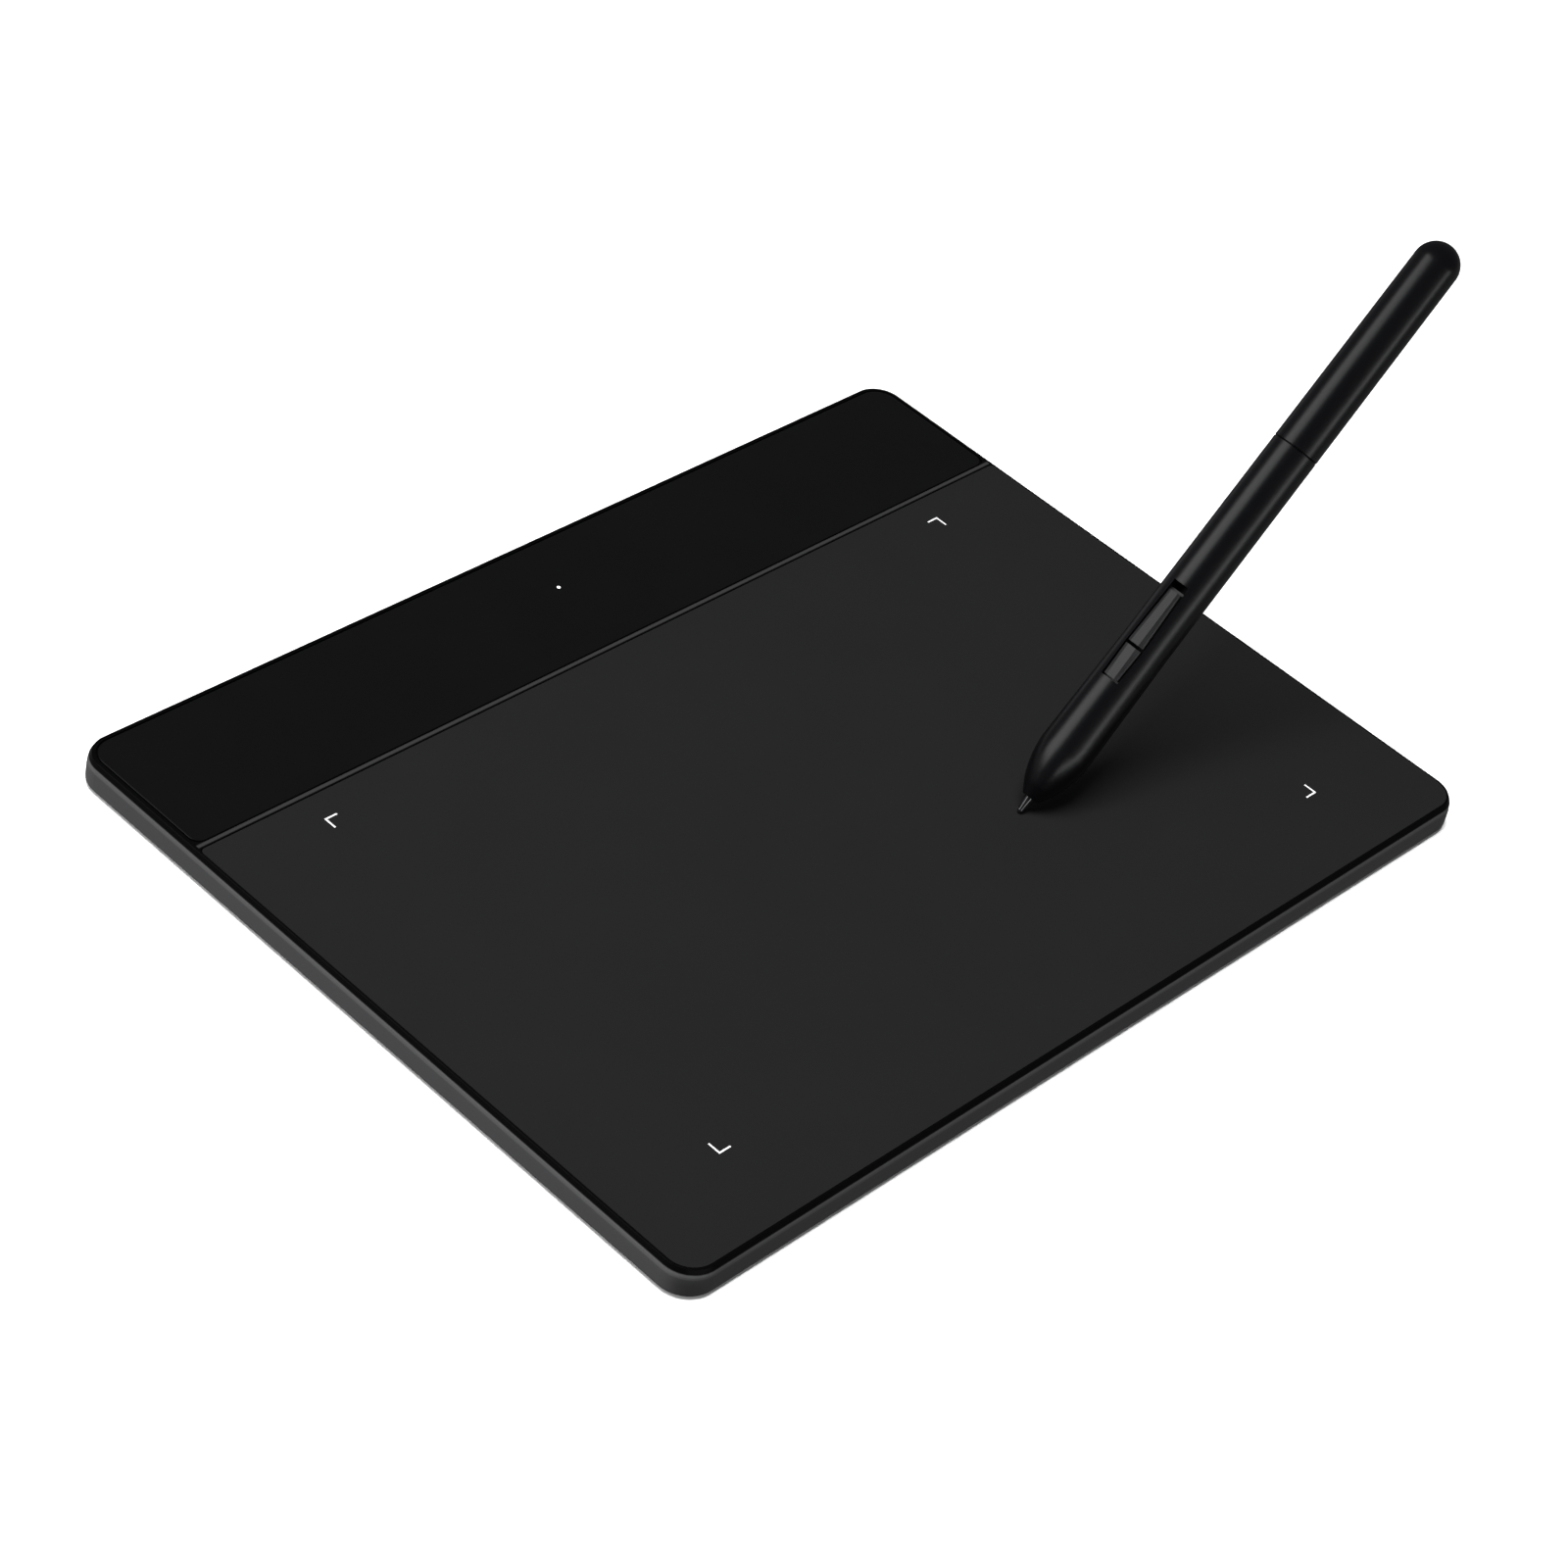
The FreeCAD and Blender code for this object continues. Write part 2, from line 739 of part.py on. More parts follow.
def make_panel_adhesive():
    """Double-sided tape that holds the accent panel, open round the power light."""
    body = new_body("panel_adhesive")
    level = "top_level - panel_thickness - adhesive_thickness"
    outline = panel_outline(body, level, "-adhesive_setback", "adhesive_corner")
    pad(body, outline, "adhesive_thickness")
    cut(body, circle_sketch(body, "light_flange_radius", level, LIGHT_SPOT), "adhesive_thickness")
    return node(body, "panel_adhesive")


def make_light_guide():
    """A clear pin from the board's light to the panel's face, with a flange under the plate."""
    flange = cylinder("guide_flange", "0", "light_y", "light_flange_bottom", "light_flange_radius",
                      "plate_bottom - light_flange_bottom")
    pin = cylinder("guide_pin", "0", "light_y", "light_flange_bottom", "light_radius",
                   "top_level - light_flange_bottom")
    return node(fused("light_guide", [flange, pin]), "light_guide")


def make_cover_screws():
    """Six equal pan-head screws up into the housing's bosses."""
    pieces = []
    for index, (x, y) in enumerate(SCREW_SPOTS):
        seat = "screw_seat_level - screw_head_height"
        pieces.append(cylinder(f"cover_head_{index}", x, y, seat, "screw_head_radius", "screw_head_height"))
        shank = ("screw_seat_level", "screw_shank_radius", "screw_end_level - screw_seat_level")
        pieces.append(cylinder(f"cover_shank_{index}", x, y, *shank))
    return node(fused("cover_screws", pieces), "cover_screws")


# ---------------------------------------------------------------- tablet: sensing stack


def stack_sheet(name, bottom, thickness, inset, back_inset):
    """A sheet of the sensing stack, inset from the sensor board's edges."""
    return rounded_plate(
        name,
        f"sensor_width - 2 * ({inset})",
        f"sensor_depth - ({inset}) - ({back_inset})",
        bottom,
        thickness,
        "sensor_corner",
        "0",
        f"sensor_y + (({inset}) - ({back_inset})) / 2",
    )


def make_sensing_stack():
    """The antenna board under the surface, its magnetic shield, and the foam and steel behind it."""
    node(stack_sheet("sensor_board", "sensor_bottom", "sensor_thickness", "0", "0"), "sensor_board")
    shield = ("shield_bottom", "shield_thickness", "shield_inset", "stack_back_inset")
    node(stack_sheet("shield_sheet", *shield), "shield_sheet")
    foam = ("foam_bottom", "foam_thickness", "shield_inset", "stack_back_inset")
    node(stack_sheet("foam_pad", *foam), "foam_pad")
    plate = ("stiffener_bottom", "stiffener_thickness", "0", "0")
    node(stack_sheet("stiffener_plate", *plate), "stiffener_plate")


# ---------------------------------------------------------------- tablet: main board and its parts


def make_main_board():
    """The controller board, notched at its back edge for the receptacle."""
    depth = "board_back - board_front"
    middle = "(board_back + board_front) / 2"
    body = rounded_plate(
        "main_board", "board_width", depth, "board_bottom", "board_thickness", "board_corner", "0", middle
    )
    holes = circle_sketch(body, "board_hole_radius", BOARD_TOP, BOARD_SCREW_SPOTS)
    cut(body, holes, "board_thickness")
    half = "port_opening_width / 2 + port_shell_wall + port_notch_gap"
    front = f"{PORT_BACK} - port_length - port_notch_gap"
    beyond = "board_back + tool_spare"
    notch = [(f"-({half})", front), (half, front), (half, beyond), (f"-({half})", beyond)]
    cut(body, outline_sketch(body, notch, "XY_Plane", BOARD_TOP), "board_thickness")
    return node(body, "main_board")


def make_usb_shell():
    """The receptacle's drawn steel shell, open at the back and closed by a plug at its inner end."""
    body = new_body("usb_shell")
    pad(body, port_outline(body, PORT_BACK, "port_shell_wall"), "port_length")
    cut(body, port_outline(body, PORT_BACK, "0"), "port_length - port_rear_plug")
    return node(body, "usb_shell")


def make_usb_tongue():
    """The plastic tongue in the middle of the receptacle."""
    front = f"{PORT_BACK} - port_length + port_rear_plug"
    tongue = block("usb_tongue_block", "-tongue_width / 2", front, "port_level - tongue_thickness / 2",
                   "tongue_width", "tongue_length", "tongue_thickness")
    return node(tongue, "usb_tongue")


def make_usb_contacts():
    """Twelve contacts on each face of the tongue."""
    strips = []
    start = f"{PORT_BACK} - port_length + port_rear_plug + contact_setback"
    for index in range(CONTACTS_PER_FACE):
        low_x = f"{index - (CONTACTS_PER_FACE - 1) / 2} * contact_pitch - contact_width / 2"
        for face, low_z in (
            ("top", "port_level + tongue_thickness / 2"),
            ("bottom", "port_level - tongue_thickness / 2 - contact_thickness"),
        ):
            size = ("contact_width", "contact_length", "contact_thickness")
            strips.append(block(f"contact_{face}_{index}", low_x, start, low_z, *size))
    return node(fused("usb_contacts", strips), "usb_contacts")


def leaded_chip(name, low_x, low_y, length, width, height, leads):
    """A moulded chip on the board with a row of flat leads along both long sides."""
    pieces = [block(f"{name}_case", low_x, low_y, BOARD_TOP, length, width, height)]
    reach = "chip_lead_reach"
    span = ("chip_lead_width", f"({width}) + 2 * {reach}", "chip_lead_thickness")
    for index in range(leads):
        step = f"{index - (leads - 1) / 2} * chip_lead_pitch - chip_lead_width / 2"
        across = f"({low_x}) + ({length}) / 2 + {step}"
        pieces.append(block(f"{name}_lead_{index}", across, f"({low_y}) - {reach}", BOARD_TOP, *span))
    return pieces


def make_chips():
    """The controller, the row of antenna switches, the clock crystal and the small capacitors."""
    half = "controller_size / 2"
    place = (f"controller_x - {half}", f"controller_y - {half}")
    case = ("controller_size", "controller_size", "controller_height")
    pieces = leaded_chip("controller", *place, *case, CONTROLLER_LEADS)
    node(fused("controller_chip", pieces), "controller_chip")
    switches = []
    for index in range(SWITCH_CHIPS):
        low_x = f"switch_chip_x + {index} * switch_chip_pitch"
        case = ("switch_chip_length", "switch_chip_width", "switch_chip_height")
        switches += leaded_chip(f"switch_{index}", low_x, "switch_chip_y", *case, SWITCH_LEADS)
    node(fused("antenna_switch_chips", switches), "antenna_switch_chips")
    crystal = ("crystal_length", "crystal_width", "crystal_height")
    node(block("crystal_block", "crystal_x", "controller_y", BOARD_TOP, *crystal), "clock_crystal")
    size = ("capacitor_length", "capacitor_width", "capacitor_height")
    parts = []
    for index in range(BOARD_CAPACITORS):
        low_x = f"capacitor_x + {index} * capacitor_pitch"
        parts.append(block(f"capacitor_{index}", low_x, "capacitor_y", BOARD_TOP, *size))
    node(fused("board_capacitors", parts), "board_capacitors")
    light = ("led_length", "led_width", "led_height")
    place = ("-led_length / 2", "light_y - led_width / 2", BOARD_TOP)
    node(block("led_block", *place, *light), "power_led")


def make_board_screws():
    """Two screws from below that hold the main board to the housing's bosses."""
    pieces = []
    for index, (x, y) in enumerate(BOARD_SCREW_SPOTS):
        seat = "board_bottom - board_head_height"
        pieces.append(cylinder(f"board_head_{index}", x, y, seat, "board_head_radius", "board_head_height"))
        shank = ("board_bottom", "board_screw_radius", "board_screw_end - board_bottom")
        pieces.append(cylinder(f"board_shank_{index}", x, y, *shank))
    return node(fused("board_screws", pieces), "board_screws")


def make_sensor_cable():
    """The flat cable from under the antenna board down into its socket."""
    body = new_body("sensor_cable")
    low = "cable_level - cable_thickness / 2"
    drop = "cable_socket_level - cable_thickness / 2"
    lower = [("cable_start", low), ("cable_bend", low), ("cable_drop_end", drop), ("cable_end", drop)]
    upper = [(across, f"{up} + cable_thickness") for across, up in reversed(lower)]
    pad(body, outline_sketch(body, lower + upper, "YZ_Plane"), "cable_width", both_ways=True)
    return node(body, "sensor_cable")


def make_sensor_socket():
    """The socket on the main board that the flat cable goes into."""
    case = block("socket_case", "-socket_width / 2", "socket_front", BOARD_TOP,
                 "socket_width", "socket_depth", "socket_height")
    front = "socket_front - tool_spare"
    slot = block("socket_mouth", "-cable_width / 2 - socket_side_gap", front,
                 "cable_socket_level - socket_slot / 2", "cable_width + 2 * socket_side_gap",
                 f"cable_end + socket_end_gap - ({front})", "socket_slot")
    return node(removed("sensor_socket", case, slot), "sensor_socket")


# ---------------------------------------------------------------- pen: barrels


def pen_placement():
    """From upright at the origin to leaning over the drawing surface."""
    spin = Rotation(Vector(0, 0, 1), value("pen_roll"))
    lean = Rotation(Vector(0, 1, 0), 90 - value("pen_elevation"))
    heading = Rotation(Vector(0, 0, 1), value("pen_heading"))
    foot = Vector(value("pen_x"), value("pen_y"), value("top_level"))
    return Placement(foot, heading.multiply(lean).multiply(spin))


def pen_node(thing, name):
    """Registers a piece of the pen and puts it in the pen's position."""
    thing.Placement = pen_placement().multiply(thing.Placement)
    return node(thing, name)


def make_front_barrel():
    """The grip: a round nose that swells to a soft shoulder and narrows towards the seam."""
    end = "seam_level - seam_gap / 2"
    body = turned(
        "front_barrel",
        [
            ("nose_bore_radius", "nose_level"),
            ("nose_radius", "nose_level"),
            ("nose_chamfer_radius", "nose_chamfer_level"),
            ("shoulder_radius", "shoulder_level", "nose_curve"),
            ("grip_radius", "grip_level"),
            ("seam_radius", f"{end} - seam_chamfer"),
            ("seam_radius - seam_chamfer", end),
            ("bore_radius", end),
            ("bore_radius", "bore_start"),
            ("bore_neck_radius", "bore_neck"),
            ("nose_bore_radius", "nose_bore_end"),
        ],
    )
    middle = "(short_button_end + long_button_front) / 2"
    right_side = [
        ("key_front_half + button_gap", "slot_front"),
        ("key_inner_half + button_gap", middle),
        ("key_rear_half + button_gap", "slot_end"),
    ]
    left_side = [(f"-({across})", up) for across, up in reversed(right_side)]
    slot = outline_sketch(body, right_side + left_side, "YZ_Plane", "slot_floor")
    cut(body, slot, "shoulder_radius", turned_round=True)
    return pen_node(body, "front_barrel")


def make_rear_barrel():
    """The rear of the pen, closed by a round end."""
    start = "seam_level + seam_gap / 2"
    body = turned(
        "rear_barrel",
        [
            ("rear_mouth_radius", start),
            ("seam_radius - seam_chamfer", start),
            ("seam_radius", f"{start} + seam_chamfer"),
            ("tail_radius", "pen_length - tail_radius"),
            ("0", "pen_length", "tail_radius"),
            ("0", "rear_bore_end"),
            ("rear_mouth_radius - rear_bore_taper", "rear_bore_end"),
        ],
    )
    return pen_node(body, "rear_barrel")


def make_coupling_sleeve():
    """The inner sleeve that joins the two barrels."""
    size = ("sleeve_inner_radius", "sleeve_outer_radius", "sleeve_front", "sleeve_end")
    return pen_node(ring("coupling_sleeve", *size), "coupling_sleeve")


# ---------------------------------------------------------------- pen: nib and electronics


def make_nib():
    """The wear tip: a cone with a round point on a long thin shaft."""
    body = turned(
        "nib",
        [
            ("0", "nib_tip_centre - nib_tip_radius"),
            ("nib_tip_radius", "nib_tip_centre", "nib_tip_radius"),
            ("nib_radius", "nib_cone_end"),
            ("nib_radius", "nib_shoulder"),
            ("nib_shaft_radius", "nib_shoulder"),
            ("nib_shaft_radius", "nib_end"),
            ("0", "nib_end"),
        ],
    )
    return pen_node(body, "nib")


def make_nib_holder():
    """The plunger that grips the nib's shaft and presses on the sensor."""
    body = turned(
        "nib_holder",
        [
            ("holder_bore_radius", "holder_front"),
            ("holder_radius", "holder_front"),
            ("holder_radius", "holder_end"),
            ("0", "holder_end"),
            ("0", "nib_end + holder_end_gap"),
            ("holder_bore_radius", "nib_end + holder_end_gap"),
        ],
    )
    return pen_node(body, "nib_holder")


def make_pen_sensing_parts():
    """The ferrite core and its coil round the nib, and the pressure sensor behind the plunger."""
    core = ("core_inner_radius", "core_outer_radius", "core_front", "core_end")
    pen_node(ring("ferrite_core", *core), "ferrite_core")
    coil = ("coil_inner_radius", "coil_outer_radius", "coil_front", "coil_end")
    pen_node(ring("coil", *coil), "coil")
    pen_node(rod("pressure_pad", "pad_radius", "pad_front", "sensor_front"), "pressure_pad")
    pen_node(rod("pressure_sensor", "sensor_radius", "sensor_front", "sensor_end"), "pressure_sensor")


def make_inner_frame():
    """The half-round cradle that the pen's board lies in."""
    outer = cylinder("frame_outer", "0", "0", "frame_front", "frame_outer_radius",
                     "frame_end - frame_front")
    front = "frame_front - tool_spare"
    length = "frame_end - frame_front + 2 * tool_spare"
    inner = cylinder("frame_inner", "0", "0", front, "frame_inner_radius", length)
    shell = removed("frame_shell", outer, inner)
    upper = block("frame_upper", "frame_top", "-frame_outer_radius - tool_spare", front,
                  "frame_outer_radius - frame_top + tool_spare",
                  "2 * (frame_outer_radius + tool_spare)", length)
    return pen_node(removed("inner_frame", shell, upper), "inner_frame")


def make_pen_board():
    """The pen's narrow circuit board, its capacitors and the two switches under the buttons."""
    half = "pen_board_thickness / 2"
    board = new_body("pen_board")
    size = ("pen_board_width", "pen_board_end - pen_board_front", "0", "board_corner")
    middle = ("0", "(pen_board_front + pen_board_end) / 2", "YZ_Plane")
    pad(board, rounded_sketch(board, *size, *middle), "pen_board_thickness", both_ways=True)
    pen_node(board, "pen_board")
    for name, middle in (("short", SHORT_MIDDLE), ("long", LONG_MIDDLE)):
        square = "tact_size / 2"
        case = block(f"{name}_tact_case", half, f"-{square}", f"{middle} - {square}",
                     "tact_height", "tact_size", "tact_size")
        plunger = cylinder(f"{name}_tact_plunger", "0", "0", "0", "tact_plunger_radius",
                           "tact_plunger_height")
        turn_towards_buttons(plunger, f"{half} + tact_height", middle)
        pen_node(fused(f"{name}_switch", [case, plunger]), f"{name}_button_switch")
    parts = []
    for index in range(PEN_CAPACITORS):
        low_z = f"pen_capacitor_front + {index} * capacitor_pitch"
        size = ("capacitor_height", "capacitor_length", "capacitor_width")
        parts.append(block(f"pen_capacitor_{index}", half, "-capacitor_length / 2", low_z, *size))
    pen_node(fused("pen_capacitors", parts), "pen_capacitors")


# ---------------------------------------------------------------- pen: buttons

def turn_towards_buttons(thing, low_x, middle):
    """Lays an upright round piece along +X, the way the buttons face."""
    thing.Placement.Rotation = Rotation(Vector(0, 1, 0), 90)
    thing.setExpression("Placement.Base.x", bound(low_x))
    thing.setExpression("Placement.Base.z", bound(middle))


def key_section(body, level, place, top):
    """A key's cross-section: upright sides, a narrow steep ledge, then facets up to a flat top."""
    half_width = f"key_{place}_half"
    side = [
        ("flange_bottom", half_width),
        ("button_side", half_width),
        ("button_side + key_ledge_height", f"{half_width} - key_ledge_inset"),
        (top, f"key_{place}_top_half"),
    ]
    mirrored = [(across, f"-({up})") for across, up in reversed(side)]
    return outline_sketch(body, side + mirrored, "XY_Plane", level)


def make_button(name, place, outer_end, inner_end, flange_front, flange_end, middle):
    """A key in the slot, with a flange behind the barrel wall and a stem to its switch."""
    body = new_body(name)
    outer = key_section(body, outer_end, place, "button_low")
    inner = key_section(body, inner_end, "inner", "button_high")
    loft = body.newObject("PartDesign::AdditiveLoft", "loft")
    loft.Profile = outer
    loft.Sections = [inner]
    loft.Ruled = True
    doc.recompute()
    flange = block(f"{name}_flange", "flange_bottom", "-flange_width / 2", flange_front,
                   "flange_top - flange_bottom", "flange_width", f"({flange_end}) - ({flange_front})")
    stem = cylinder(f"{name}_stem", "0", "0", "0", "stem_radius", "flange_bottom - stem_bottom")
    turn_towards_buttons(stem, "stem_bottom", middle)
    return pen_node(fused(name, [body, flange, stem]), name)


def make_buttons():
    """The short key nearer the nib and the long key behind it, highest and widest where they meet."""
    ends = ("short_button_front", "short_button_end")
    flange = ("short_button_front - flange_reach", "short_button_end")
    make_button("short_button", "front", *ends, *flange, SHORT_MIDDLE)
    ends = ("long_button_end", "long_button_front")
    flange = ("long_button_front", "long_button_end + flange_reach")
    make_button("long_button", "rear", *ends, *flange, LONG_MIDDLE)


# ---------------------------------------------------------------- build, check and export


def check(thing):
    """Stops the build where an object failed or a shape isn't sound."""
    if "Invalid" in thing.State or "Error" in thing.State:
        raise RuntimeError(f"{thing.Label} failed: {thing.State}")


def main():
    make_top_housing()
    make_bottom_cover()
    make_feet()
    make_drawing_surface()
    make_surface_adhesive()
    make_accent_panel()
    make_panel_adhesive()
    make_light_guide()
    make_cover_screws()
    make_sensing_stack()
    make_main_board()
    make_usb_shell()
    make_usb_tongue()
    make_usb_contacts()
    make_chips()
    make_board_screws()
    make_sensor_cable()
    make_sensor_socket()
    make_front_barrel()
    make_rear_barrel()
    make_coupling_sleeve()
    make_nib()
    make_nib_holder()
    make_pen_sensing_parts()
    make_inner_frame()
    make_pen_board()
    make_buttons()
    doc.recompute()
    for thing in doc.Objects:
        check(thing)
    os.makedirs("parts", exist_ok=True)
    for thing in nodes:
        shape = thing.Shape
        if shape.isNull() or not shape.isValid():
            raise RuntimeError(f"{thing.Label} has no sound shape")
        shape.exportStep(f"parts/{thing.Label}.step")
        print(f"{thing.Label}: {len(shape.Solids)} solid(s), {shape.Volume:.2f} mm3")


main()
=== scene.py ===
import json
import math

import bmesh
import bpy
from mathutils import Matrix, Vector


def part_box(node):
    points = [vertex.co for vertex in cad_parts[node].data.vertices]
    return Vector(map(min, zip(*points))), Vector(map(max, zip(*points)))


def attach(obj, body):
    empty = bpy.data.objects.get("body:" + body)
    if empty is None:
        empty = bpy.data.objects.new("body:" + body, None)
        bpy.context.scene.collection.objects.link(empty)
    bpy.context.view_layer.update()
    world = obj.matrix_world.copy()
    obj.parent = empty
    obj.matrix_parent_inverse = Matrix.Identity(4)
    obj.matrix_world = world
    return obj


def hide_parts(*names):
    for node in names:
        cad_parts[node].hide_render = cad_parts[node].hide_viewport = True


# A pen drawing tablet with its pen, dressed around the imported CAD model. Metres, Z up.

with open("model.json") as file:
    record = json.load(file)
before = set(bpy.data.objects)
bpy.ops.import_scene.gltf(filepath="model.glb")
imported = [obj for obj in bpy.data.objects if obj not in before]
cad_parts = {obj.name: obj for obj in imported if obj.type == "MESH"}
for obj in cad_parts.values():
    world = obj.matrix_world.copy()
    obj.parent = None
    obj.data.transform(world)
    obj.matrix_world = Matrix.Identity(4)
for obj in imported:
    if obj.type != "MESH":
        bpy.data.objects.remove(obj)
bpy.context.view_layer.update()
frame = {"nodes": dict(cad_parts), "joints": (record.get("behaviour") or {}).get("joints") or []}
MM = 0.001

# ---------------------------------------------------------------- the object's own measures

# The printed brackets mark the corners of the area that the pen is read in.
ACTIVE_WIDTH = 160.0 * MM
ACTIVE_DEPTH = 98.8 * MM
ACTIVE_CENTRE_Y = -10.73 * MM
MARK_ARM = 2.75 * MM
MARK_STROKE = 0.34 * MM
PRINT_HEIGHT = 0.012 * MM

# Heights on the housing's wall where a painted highlight, a pale line, and a bevel painted black
# as shade begin.
EDGE_HIGHLIGHT_LOW = 4.7 * MM
BEVEL_START = 5.62 * MM
EDGE_FADE = 0.12 * MM

# The raised rib between the drawing surface and the panel, with a painted highlight along its
# top.
RIB_FRONT = 45.05 * MM
RIB_BACK = 45.75 * MM
RIB_HALF_LENGTH = 102.9 * MM

# Only the middle of the light pin glows.
GLOW_RADIUS = 0.30 * MM
GLOW_FADE = 0.10 * MM

# The pen's axis meets the drawing surface at its foot. A pair is a radius and a level along
# the axis, and a single level or radius says which it is.
PEN_FOOT = Vector((26.4, -31.4, 6.6)) * MM
NOSE_LEVEL = 3.8 * MM
NOSE_RADIUS = 1.7 * MM
NOSE_BORE_RADIUS = 1.4 * MM
NOSE_CREASE = (3.2 * MM, 6.35 * MM)
NOSE_CURVE_RADIUS = 22.0 * MM
SHOULDER = (5.15 * MM, 14.4 * MM)
GRIP = (4.74 * MM, 38.7 * MM)
BORE_RADIUS = 3.7 * MM
SEAM_LEVEL = 83.0 * MM
SEAM_RADIUS = 4.63 * MM
SEAM_HALF_GAP = 0.05 * MM
SEAM_EDGE = 0.12 * MM
TAIL_RADIUS = 4.5 * MM
TAIL_END_LEVEL = 128.8 * MM

# The button slot: half widths with their levels, cut down to this distance from the axis.
SLOT_PROFILE = ((1.96 * MM, 29.85 * MM), (2.11 * MM, 37.275 * MM), (1.66 * MM, 51.3 * MM))
SLOT_FLOOR = 2.0 * MM
SLOT_TOP = 2 * SHOULDER[0]

NIB_TIP_RADIUS = 0.62 * MM
NIB_TIP_LEVEL = 0.42 * MM
NIB_RADIUS = 1.2 * MM
NIB_CONE_END_LEVEL = 4.2 * MM
NIB_SHOULDER_LEVEL = 6.2 * MM
NIB_SHAFT_RADIUS = 0.8 * MM
NIB_END_LEVEL = 21.5 * MM

# How finely the turned pieces are divided.
ROUND_STEPS = 192
ARC_STEPS = 24
TIP_STEPS = 12
CONE_STEPS = 12
BARREL_STEPS = 20
NOSE_STEPS = 4
SHARP_ANGLE = math.radians(24)
SMALLEST_RADIUS = 0.0001 * MM

# ---------------------------------------------------------------- finishes

# Noise is counted in features per metre, and grain depths are lengths.
CLOUD_SCALE = 45.0
CLOUD_DETAIL = 4.0
GRAIN_DETAIL = 2.0
NOISE_ROUGHNESS = 0.6
NOISE_LOW = 0.3
NOISE_HIGH = 0.7
SHEEN_SPREAD = 0.08

WALL_DARK = (0.029, 0.029, 0.030)
WALL_LIGHT = (0.035, 0.035, 0.036)
# Colour of the painted highlight, a pale band along the top of the wall.
PAINTED_EDGE_HIGHLIGHT = (0.058, 0.058, 0.059)
# Near black: painted as shade on the housing's bevel, and also the light pin's rim.
DEEP_BLACK = (0.0012, 0.0012, 0.0013)
# Colour of the painted highlight along the rib's top.
RIB_PAINTED_HIGHLIGHT = (0.022, 0.022, 0.022)
WALL_ROUGHNESS = (0.33, 0.40)
WALL_SPECULAR = 0.6
BEVEL_SPECULAR = 0.05
WALL_GRAIN = 5000.0
WALL_GRAIN_DEPTH = 0.002 * MM
CLEAR_ROUGHNESS = 0.3
LIGHT_LEVEL = 0.7
LIGHT_COLOUR = (1, 1, 1, 1)


def new_material(name):
    """An empty material with one principled shader."""
    material = bpy.data.materials.new(name)
    material.use_nodes = True
    tree = material.node_tree
    tree.nodes.clear()
    output = tree.nodes.new("ShaderNodeOutputMaterial")
    shader = tree.nodes.new("ShaderNodeBsdfPrincipled")
    tree.links.new(shader.outputs["BSDF"], output.inputs["Surface"])
    return material, tree, shader


def noise(tree, scale, detail):
    """Solid noise in the object's own coordinates."""
    place = tree.nodes.new("ShaderNodeTexCoord")
    texture = tree.nodes.new("ShaderNodeTexNoise")
    texture.inputs["Scale"].default_value = scale
    texture.inputs["Detail"].default_value = detail
    texture.inputs["Roughness"].default_value = NOISE_ROUGHNESS
    tree.links.new(place.outputs["Object"], texture.inputs["Vector"])
    return texture.outputs["Fac"]


def spread(tree, source, low, high, start=NOISE_LOW, end=NOISE_HIGH):
    """Turns a source that runs from start to end into a value that runs from low to high."""
    ramp = tree.nodes.new("ShaderNodeMapRange")
    ramp.inputs["From Min"].default_value = start
    ramp.inputs["From Max"].default_value = end
    ramp.inputs["To Min"].default_value = low
    ramp.inputs["To Max"].default_value = high
    tree.links.new(source, ramp.inputs["Value"])
    return ramp.outputs["Result"]


def combine(tree, operation, first, second):
    """One arithmetic node on two sources."""
    node = tree.nodes.new("ShaderNodeMath")
    node.operation = operation
    tree.links.new(first, node.inputs[0])
    tree.links.new(second, node.inputs[1])
    return node.outputs["Value"]


def mix_colour(tree, source, first, second):
    """The first colour where the source is zero and the second where it is one."""
    mix = tree.nodes.new("ShaderNodeMix")
    mix.data_type = "RGBA"
    mix.inputs["A"].default_value = (*first, 1)
    mix.inputs["B"].default_value = (*second, 1)
    tree.links.new(source, mix.inputs["Factor"])
    return mix.outputs["Result"]


def layer(tree, mask, below, colour):
    """Lays a plain colour over another source where the mask is one."""
    mix = tree.nodes.new("ShaderNodeMix")
    mix.data_type = "RGBA"
    mix.inputs["B"].default_value = (*colour, 1)
    tree.links.new(mask, mix.inputs["Factor"])
    tree.links.new(below, mix.inputs["A"])
    return mix.outputs["Result"]


def between(tree, source, low, high):
    """A mask that is one where the source lies between two limits, with a soft edge."""
    rising = spread(tree, source, 0.0, 1.0, low - EDGE_FADE, low + EDGE_FADE)
    falling = spread(tree, source, 1.0, 0.0, high - EDGE_FADE, high + EDGE_FADE)
    return combine(tree, "MULTIPLY", rising, falling)


def add_bump(tree, shader, source, depth):
    """Fine grain of the given depth."""
    bump = tree.nodes.new("ShaderNodeBump")
    bump.inputs["Distance"].default_value = depth
    bump.inputs["Strength"].default_value = 1.0
    tree.links.new(source, bump.inputs["Height"])
    tree.links.new(bump.outputs["Normal"], shader.inputs["Normal"])


